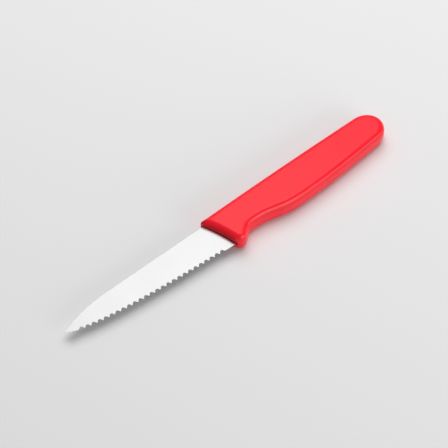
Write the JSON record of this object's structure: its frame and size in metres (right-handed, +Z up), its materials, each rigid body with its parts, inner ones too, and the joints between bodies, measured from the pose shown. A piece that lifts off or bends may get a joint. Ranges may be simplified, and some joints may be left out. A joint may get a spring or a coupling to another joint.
{
  "type": "serrated vegetable knife",
  "caption": "Fixed-blade vegetable knife with a pointed steel blade, a fine wavy cutting edge and a red moulded plastic handle with a finger guard.",
  "frame": {"origin": "under the middle of the knife's box, on the surface that it lies on", "axes": "+X from the tip to the butt, +Y from the cutting edge to the spine, +Z up through the thickness; the knife lies on its right side"},
  "size_m": [0.1844, 0.0202, 0.01],
  "materials": {
    "blade_steel": "satin, finely ground stainless steel",
    "handle_plastic": "semi-gloss moulded polypropylene"
  },
  "bodies": {
    "root": {"blade": "blade_steel", "handle": "handle_plastic"}
  },
  "joints": []
}
